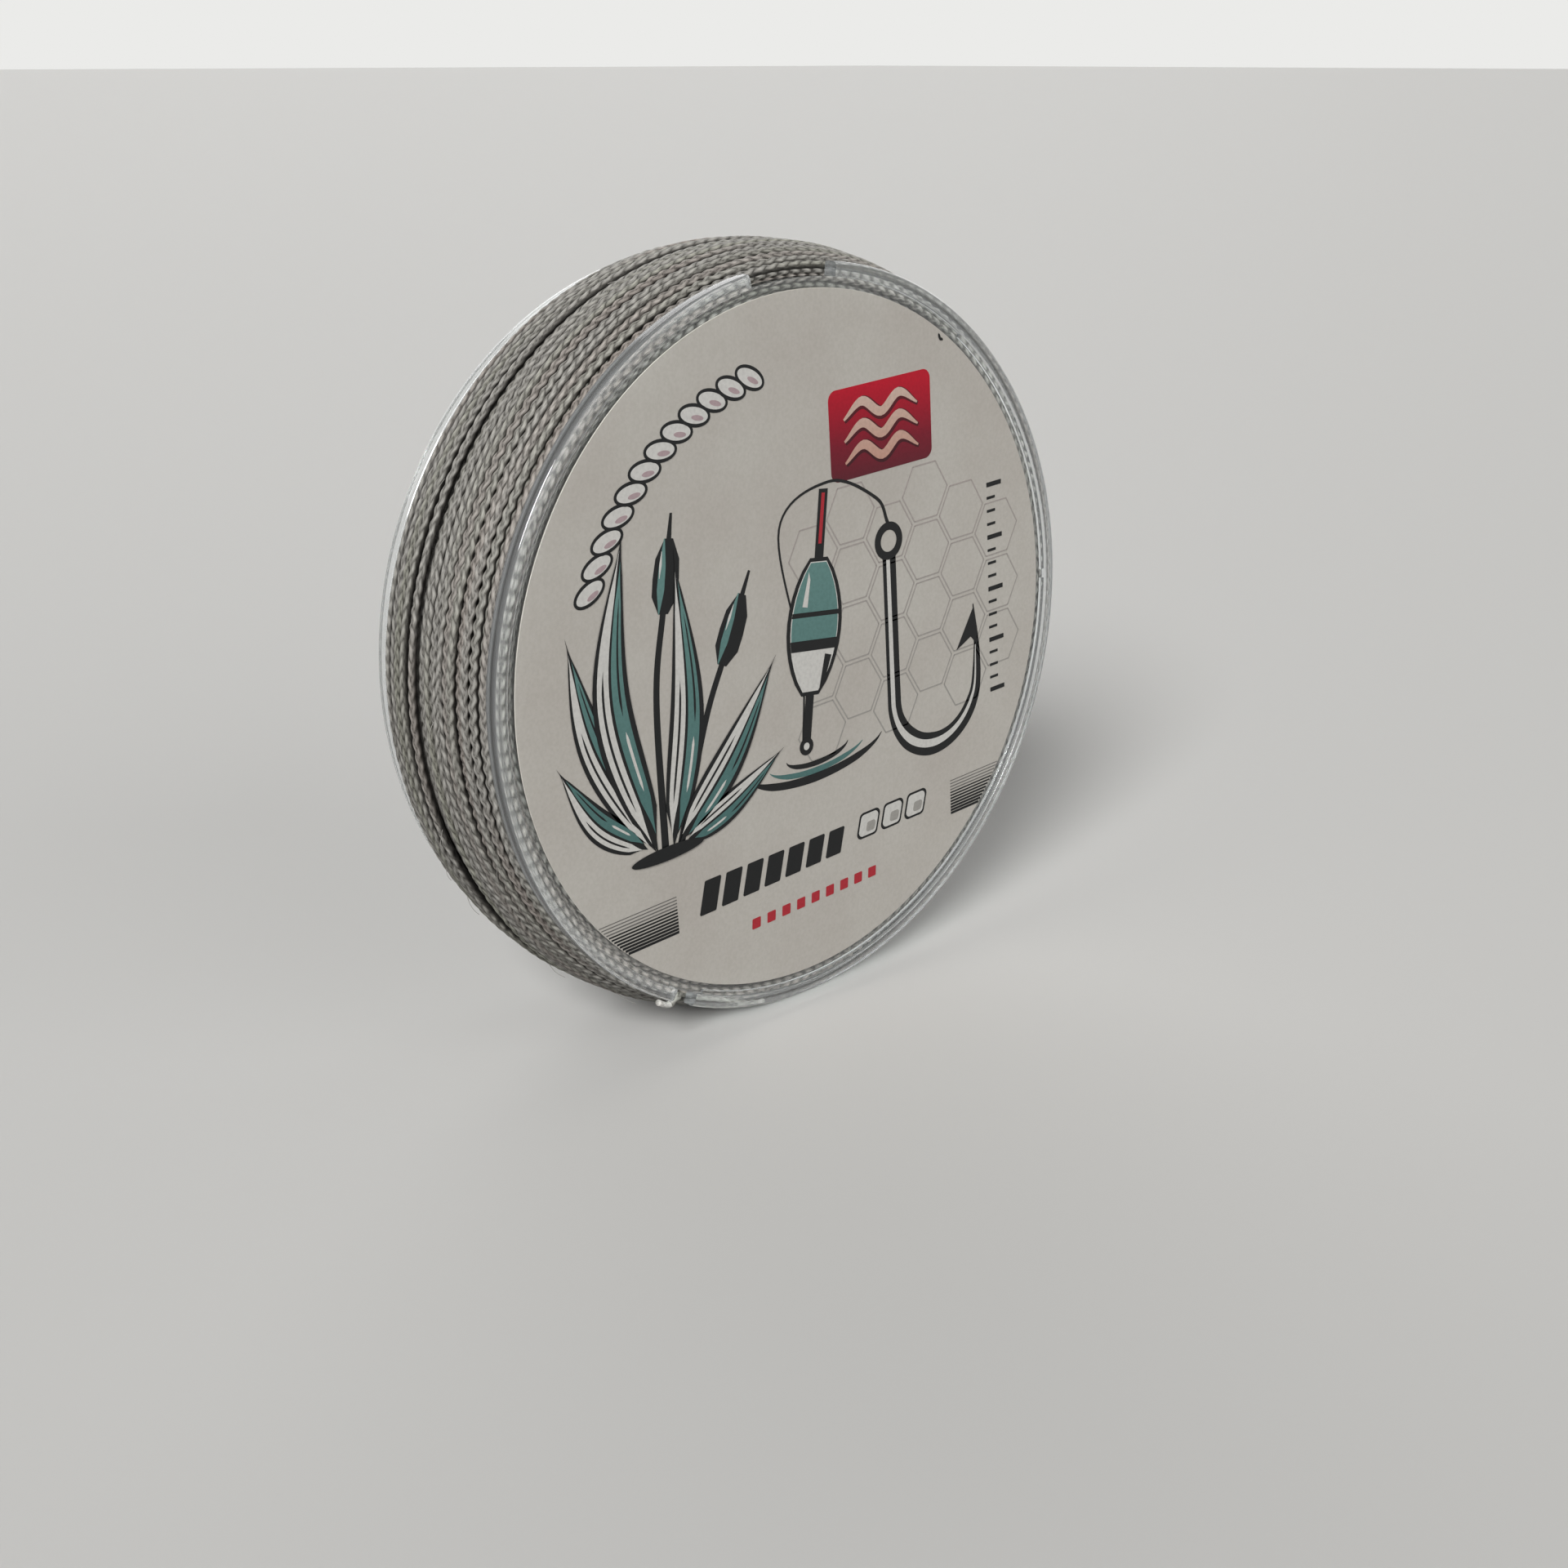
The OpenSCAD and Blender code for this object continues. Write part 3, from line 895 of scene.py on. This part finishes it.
def braidPath(radius, angle, depth, slope, seed, spec=lineSpec):
    # centre line, outward normal and side of a line wound on the spool, in mm
    centre = np.stack([radius * np.cos(angle), -depth, radius * np.sin(angle)], 1)
    way = np.gradient(centre, axis=0)
    step = np.linalg.norm(way, axis=1)
    way /= step[:, None]
    out = np.stack([np.cos(angle), slope, np.sin(angle)], 1)
    out -= (out * way).sum(1)[:, None] * way
    out /= np.linalg.norm(out, axis=1)[:, None]
    run = np.cumsum(step) - step[0]
    knots = max(3, int(run[-1] / spec["castEvery"]))
    return dict(centre=centre, out=out, side=np.cross(way, out), run=run,
                twist=drift(seed, len(run), knots, spec["twist"]),
                tone=0.5 + drift(seed + 1, len(run), knots, 0.5),
                swell=1 + drift(seed + 2, len(run), knots * 2, spec["swell"]))


def braidPads(path, arc, girth, spec):
    # a four-strand braid shows four columns of long pads, where a strand lies on top; they
    # lean one way and the other in turn and start half a length apart; this gives each
    # point's height, how far it is out of a crease, and which way its pad leans
    height, below, leaning = (np.zeros((len(path["run"]), len(arc))) for _ in range(3))
    for column in range(4):
        way = 1 - 2 * (column % 2)
        for pad in (-1, 0, 1):
            along = (np.mod(path["run"] / spec["padPitch"] + column / 2, 1) - 0.5
                     + pad) * spec["padPitch"]
            at = (column / 4 + path["twist"] / (2 * np.pi)) * girth + way * spec["padLean"] * along
            off = np.mod(arc - at[:, None] + girth / 2, girth) - girth / 2
            level = spec["padDome"] * np.cos(np.clip(off / spec["padHalf"], -1, 1) * np.pi / 2)
            level += spec["padRise"] * np.cos(np.clip(
                along / spec["padLength"], -1, 1) * np.pi)[:, None]
            below = np.maximum(below, np.minimum(level, height))
            leaning = np.where(level > height, (way + 1) / 2, leaning)
            height = np.maximum(height, level)
    return height, np.clip((height - below) / spec["creaseWidth"], 0, 1), leaning


def braidTube(name, path, spec, angles, material):
    # the braid round a path: a grid takes its shape, tone and pattern from a table
    rings, sides = len(path["run"]), len(angles)
    halfW, halfH = spec["width"] / 2, spec["height"] / 2
    fine = np.linspace(0, 2 * np.pi, 721)
    speed = np.hypot(halfW * np.sin(fine), halfH * np.cos(fine))
    length = np.concatenate([[0], np.cumsum((speed[1:] + speed[:-1]) / 2 * fine[1])])
    girth = length[-1]
    arc = np.interp(np.mod(angles, 2 * np.pi), fine, length)
    closedArc = arc[0] + np.append(np.mod(arc - arc[0], girth), girth)
    height, crease, leaning = braidPads(path, arc, girth, spec)
    most = spec["padRise"] + spec["padDome"]
    # painted shade: darker towards the pad ends and in the creases between strands
    tone = 1 - spec["paintedPadShade"] * (1 - height / most) - spec["paintedCreaseShade"] * (1 - crease) ** 2
    # painted shade on the sides that face away, in the grooves between turns
    facing = np.clip(np.cos(angles - radians(spec["shows"])), 0, 1)
    tone = tone * (1 - spec["paintedGrooveShade"] * (1 - facing) ** 2)
    inset = most - height
    swell = path["swell"][:, None]
    c, s = np.cos(angles), np.sin(angles)
    push = np.hypot(c / halfW, s / halfH)
    sway = (spec["wave"] * np.sin(2 * path["twist"])
            * np.cos(2 * np.pi * path["run"] / spec["padPitch"]))
    across = halfW * c * swell - inset * (c / halfW / push) - sway[:, None]
    up = halfH * s / swell - inset * (s / halfH / push)
    table = (path["centre"][:, None] + across[..., None] * path["side"][:, None]
             + up[..., None] * path["out"][:, None])
    table[..., 2] = np.maximum(table[..., 2], floorZ / mm)

    bm = bmesh.new()
    bmesh.ops.create_grid(bm, x_segments=rings - 1, y_segments=sides, size=1)
    mesh = meshFrom(bm, name)
    column, ring = np.divmod(np.arange(len(mesh.vertices)), rings)  # the grid's order
    at = (ring, column % sides)
    mesh.vertices.foreach_set("co", (table[at] * mm).astype(np.float32).ravel())
    # the braid attribute: tone with its painted shade, lean and cast
    shade = np.ones((len(ring), 4), np.float32)
    shade[:, 0] = np.clip(tone[at], 0, 1)
    shade[:, 1] = leaning[at]
    shade[:, 2] = path["tone"][ring]
    shadeBraid(mesh, shade.ravel())
    corner = np.empty(len(mesh.loops), np.int32)
    mesh.loops.foreach_get("vertex_index", corner)
    place = np.stack([path["run"][ring[corner]], closedArc[column[corner]]], 1)
    mesh.uv_layers.new(name="alongLine").uv.foreach_set(
        "vector", place.astype(np.float32).ravel())

    bm = bmesh.new()
    bm.from_mesh(mesh)
    bmesh.ops.remove_doubles(bm, verts=bm.verts, dist=samePlace / 5)  # the grid's two edges
    closeUp(bm)
    bm.to_mesh(mesh)
    bm.free()
    mesh.shade_smooth()
    piece = addObject(name, mesh, material)
    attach(piece, "root")
    return piece


def shadeBraid(mesh, colours):
    # what the braid's material reads: tone with its painted shade, lean and cast
    mesh.attributes.new("braid", "FLOAT_COLOR", "POINT").data.foreach_set("color", colours)


def slicePath(path, first, last):
    return {key: value[first:last + 1] for key, value in path.items()}


def layTurns(name, path, line, angles, parts, node):
    # a long winding is laid in parts, and each is one piece
    cuts = np.linspace(0, len(path["run"]) - 1, parts + 1).astype(int)
    for i in range(parts):
        piece = braidTube(f"{name}_{i + 1}", slicePath(path, cuts[i], cuts[i + 1]), line,
                          angles, braid)
        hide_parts(node)


def smoothAlong(values, reach):
    kernel = np.hanning(2 * reach + 3)[1:-1]
    padded = np.pad(values, reach, mode="edge")
    return np.convolve(padded, kernel / kernel.sum(), mode="valid")


def nearAngle(angle, middle, power):
    # 1 at the middle angle in degrees, 0 opposite it
    return (0.5 + 0.5 * np.cos(angle - radians(middle))) ** power


def openGaps(spec, depth, angle, limit):
    # the turns in front of a gap are pushed towards the front plate, most at its angle
    for place, opening, middle in spec["gaps"]:
        ahead = np.clip((depth - place) / spec["gapSoft"] + 0.5, 0, 1)
        depth = depth + (opening * nearAngle(angle, middle, 4) * ahead
                         * (limit - depth) / (limit - place))
    return depth


outerSpec = dict(
    windingSpec, turns=15.5, overrun=0.5, bunch=0.2, endAngle=262.5, perTurn=1440, pieces=5,
    wander=0.09, heave=0.06, knots=5, plateGap=0.01,
    smoothDepth=24, smoothLift=40,  # evened out over this part of a turn
    squeeze=0.86, pile=0.6, mostLift=0.3,  # how the turns climb on each other
    lowTurn=5.69, lowReach=0.24, lowDrop=0.65,  # the turn that sinks between the gaps
    diveTurns=0.3, dive=0.9,  # the first turn comes up from below
)


def makeOuterTurns(spec, line):
    # the outer layer runs from the rear plate to the front one, ends at the slit, and
    # climbs on its neighbour wherever the two come too close
    per = spec["perTurn"]
    count = round(spec["turns"] * per) + 1
    turn = np.arange(count) / per
    angle = radians(spec["endAngle"]) + 2 * np.pi * (spec["turns"] - turn)
    reach = 2 * spec["travel"] + spec["overrun"]
    limit = innerDepth - spec["plateGap"] - line["width"] / 2 - line["wave"]
    share = turn / spec["turns"]
    share += spec["bunch"] * share * (1 - share)  # the turns lie closer at the front
    depth = openGaps(spec, -spec["travel"] + reach * share, angle, limit)
    knots = round(spec["turns"] * spec["knots"])
    depth = depth + drift(5, count, knots, spec["wander"])
    depth = np.clip(smoothAlong(depth, per // spec["smoothDepth"]), -limit, limit)
    lift = np.zeros(count)
    near = line["width"] * spec["squeeze"]
    for first in range(per, count, per):
        now = np.arange(first, min(first + per, count))
        apart = np.abs(depth[now] - depth[now - per])
        touch = np.sqrt(np.clip(1 - (apart / near) ** 2, 0, 1))
        lift[now] = (np.minimum(lift[now - per], spec["mostLift"]) * touch
                     + line["height"] * spec["pile"] * touch)
    lift = smoothAlong(lift, per // spec["smoothLift"])
    lift += drift(9, count, knots, spec["heave"])
    lift -= spec["lowDrop"] * np.exp(-((turn - spec["lowTurn"]) / spec["lowReach"]) ** 2)
    dive = np.clip(1 - turn / spec["diveTurns"], 0, 1)
    radius = windingR(depth) - line["height"] / 2 + lift - spec["dive"] * dive ** 2
    lowest = floorZ / mm + line["height"] / 2
    under = np.minimum(radius * np.sin(angle), 0)
    radius = np.where(under < lowest, np.abs(lowest / np.sin(angle)), radius)
    path = braidPath(radius, angle, depth, surfaceTilt(depth), 11)
    layTurns("outer_turns", path, line, sectionAngles(line), spec["pieces"], "line_turns")
    return radius[-1], depth[-1]


secondSpec = dict(
    windingSpec, turns=12, perTurn=960, parts=2, wander=0.2, knots=4, smoothDepth=24,
    drop=0.55, sag=0.5, sagPast=0.5, sagReach=2.2,  # it sags where the gaps are
)


def makeSecondLayer(spec, line):
    # the layer below the outer one, laid the other way, which shows in the gaps
    per, turns = spec["perTurn"], spec["turns"]
    count = turns * per + 1
    turn = np.arange(count) / per
    wander = drift(23, count, turns * spec["knots"], spec["wander"])
    depth = spec["travel"] * (1 - 2 * turn / turns) + wander
    limit = innerDepth - spec["sideGap"] - line["width"] / 2
    depth = np.clip(smoothAlong(depth, per // spec["smoothDepth"]), -limit, limit)
    angle = 2 * np.pi * (turns - turn)
    (rearGap, _, middle), (frontGap, _, _) = spec["gaps"]
    apart = (depth - (rearGap + frontGap) / 2 - spec["sagPast"]) / spec["sagReach"]
    sag = nearAngle(angle, middle, 2) * np.exp(-apart ** 2)
    radius = windingR(depth) - line["height"] / 2 - spec["drop"] - spec["sag"] * sag
    path = braidPath(radius, angle, depth, surfaceTilt(depth), 29)
    layTurns("second_layer", path, line, sectionAngles(line), spec["parts"], "line_core")


sideSpec = dict(windingSpec, ring=0.24, step=0.66, cross=340, climb=0.1, wander=0.22,
                knots=5, stepsBack=1.2)
sideTurns = {  # name: side, radii, how far the inner loops stand back, parts, braid
    "rear_side_turns": dict(
        sideSpec, side=-1, fromR=drumR + 0.55, toR=rimR - 0.75, recess=0.0, seed=71,
        parts=3, line=coarseLine),
    "front_side_turns": dict(
        sideSpec, side=1, fromR=rimR - 2.96, toR=rimR - 1.0, recess=0.5, seed=83,
        # the front loops get full painted shade at their pad ends
        parts=1, line=dict(coarseLine, padRise=0.16, paintedPadShade=1.0)),
}


def makeSideTurns(name, spec):
    # where the layers end at a plate, seen through the clear plastic: loops of one
    # radius, each of which climbs to the next at one place
    side, fromR, toR = spec["side"], spec["fromR"], spec["toR"]
    turns = round((toR - fromR) / spec["step"]) + 1
    step = (toR - fromR) / (turns - 1)
    count = int(turns * pi * (fromR + toR) / spec["ring"])
    turn = np.linspace(0, turns, count)
    climb = np.clip((turn % 1 - 1) / spec["climb"] + 1, 0, 1)
    climb = np.minimum(np.floor(turn) + climb * climb * (3 - 2 * climb), turns - 1)
    radius = fromR + step * climb
    angle = 2 * np.pi * turn + radians(spec["cross"])
    shy = spec["recess"] * np.clip((toR - step * spec["stepsBack"] - radius) / step, 0, 1)
    line = dict(spec["line"], shows=90 + side * 90)
    depth = side * (innerDepth - spec["sideGap"] - line["width"] / 2 - shy
                    - np.abs(drift(spec["seed"], count, turns * spec["knots"], spec["wander"])))
    path = braidPath(radius, angle, depth, np.zeros(count), spec["seed"] + 3)
    facing = np.sort(np.mod(sectionAngles(line) + side * np.pi / 2, 2 * np.pi))
    layTurns(name, path, line, facing, spec["parts"], "line_core")


drumSpec = dict(windingSpec, turns=13, perTurn=480, wander=0.12, knots=4, wallGap=0.2, sides=8)


def makeDrumTurns(spec, line):
    # the first layer on the drum, seen through its clear wall
    count = spec["perTurn"] * spec["turns"] + 1
    turn = np.arange(count) / spec["perTurn"]
    wander = drift(41, count, spec["turns"] * spec["knots"], spec["wander"])
    depth = spec["travel"] * (2 * turn / spec["turns"] - 1) + wander
    radius = np.full(count, drumR + spec["wallGap"] + line["height"] / 2)
    path = braidPath(radius, 2 * np.pi * turn, depth, np.zeros(count), 43)
    piece = braidTube("drum_turns", path, dict(line, shows=-90), evenAngles(spec["sides"]),
                      braid)
    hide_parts("line_core")


# the fill's tone of 0.3 paints it dark, as painted shade
fillSpec = dict(plateGap=1.3, drumGap=0.9, drop=1.3, bands=12, steps=180, tone=0.3)


def makeFill(spec):
    # the layers between, which only show as shade behind the others; their low tone is painted
    # shade
    reach, low = innerDepth - spec["plateGap"], drumR + spec["drumGap"]
    depths = np.linspace(-reach, reach, spec["bands"] + 1)
    outline = [(low, -reach)] + [(windingR(d) - spec["drop"], d) for d in depths] + [(low, reach)]
    fill = spinSection("inner_layers", outline, spec["steps"])
    fill.data.materials.append(braid)
    shadeBraid(fill.data, [spec["tone"], 0.5, 0.5, 1.0] * len(fill.data.vertices))
    smoothShade(fill)
    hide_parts("line_core")
    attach(fill, "root")


endSpec = dict(
    endAngle=outerSpec["endAngle"], steps=14, sides=12, tipFrom=0.8,
    # the free end gets no painted shade in its grooves
    line=dict(lineSpec, width=0.9, height=0.66, paintedGrooveShade=0),
    tip=dict(padDome=0.03, padRise=0.02, paintedPadShade=0.3, wave=0.0),  # melted smooth, with less shade painted on its pads
)


def makeLineEnd(spec, lastR, lastDepth):
    # the free end leaves the last turn, dips into the slit and comes out over the rim
    middle, width = spoolSpec["slit"]
    quarter = width / 4
    half = lineSpec["height"] / 2
    slitR = rimR - spoolSpec["rimW"] / 2
    overR = rimR + half + 0.1
    outside = plateDepth - 0.42
    route = [(lastR, spec["endAngle"], lastDepth),  # radius, angle, depth
             (lastR - 0.02, spec["endAngle"] - 3, lastDepth),
             (slitR, middle + 9, lastDepth),
             (slitR, middle + 1.5 * quarter, innerDepth - half - 0.1),
             (slitR + 0.1, middle + quarter / 2, plateDepth - 0.9),
             (rimR, middle - quarter / 2, plateDepth - 0.5),
             (overR, middle - 1.5 * quarter, outside),
             (overR, middle - 3.6, outside)]
    points = throughPoints(route, spec["steps"])
    r, a, d = (np.array(v) for v in zip(*[tuple(p) for p in points]))
    path = braidPath(r, np.radians(a), d, np.zeros(len(r)), 61)
    split = int(len(r) * spec["tipFrom"])
    angles = evenAngles(spec["sides"])
    free = braidTube("free_end", slicePath(path, 0, split), spec["line"], angles, braid)
    tip = braidTube("cut_tip", slicePath(path, split, len(r) - 1),
                    dict(spec["line"], **spec["tip"]), angles, cutBraid)
    for piece, slot in ((free, "braided_line"), (tip, "line_tip")):
        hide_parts("line_end")


fibreSpec = dict(
    count=12, thick=0.05, points=12, sunk=0.15, seed=97,
    # each filament takes its own values from these ranges
    angle=(102, 246), depth=(-6.5, 6.5), length=(1.2, 3.2), rise=(0.3, 0.8), lean=(-0.9, 0.9),
)


def makeStrayFibres(spec):
    # single filaments that have worked loose and stand a little off the winding
    chance = np.random.default_rng(spec["seed"])
    share = np.linspace(0, 1, spec["points"])
    curve = bpy.data.curves.new("strayFibres", "CURVE")
    curve.dimensions = "3D"
    curve.bevel_depth = spec["thick"] / 2 * mm
    curve.bevel_resolution = 1
    curve.use_fill_caps = True
    for _ in range(spec["count"]):
        angle, depth, length, rise, lean = (
            chance.uniform(*spec[key]) for key in ("angle", "depth", "length", "rise", "lean"))
        radius = windingR(depth) - spec["sunk"] + rise * np.sin(share * np.pi * 0.6)
        around = radians(angle) + length * share / rimR
        fibre = curve.splines.new("POLY")
        fibre.points.add(spec["points"] - 1)
        for point, r, a, d in zip(fibre.points, radius, around, depth + lean * share ** 2):
            point.co = (r * cos(a) * mm, -d * mm, r * sin(a) * mm, 1)
    bm = bmesh.new()
    strands = bpy.data.objects.new("strayFibres", curve)
    bm.from_mesh(bpy.data.meshes.new_from_object(strands))
    bpy.data.objects.remove(strands)
    bmesh.ops.remove_doubles(bm, verts=bm.verts, dist=10 * samePlace)
    closeUp(bm)
    fibres = addObject("stray_fibres", bm, braid)
    shadeBraid(fibres.data, [1.0, 0.5, 0.5, 1.0] * len(fibres.data.vertices))
    fibres.data.shade_smooth()
    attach(fibres, "root")


lastR, lastDepth = makeOuterTurns(outerSpec, lineSpec)
makeSecondLayer(secondSpec, coarseLine)
for name, spec in sideTurns.items():
    makeSideTurns(name, spec)
makeDrumTurns(drumSpec, lineSpec)
makeFill(fillSpec)
makeLineEnd(endSpec, lastR, lastDepth)
makeStrayFibres(fibreSpec)
print("stage: winding made")

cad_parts["start_tape"].data.materials.clear()
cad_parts["start_tape"].data.materials.append(tape)
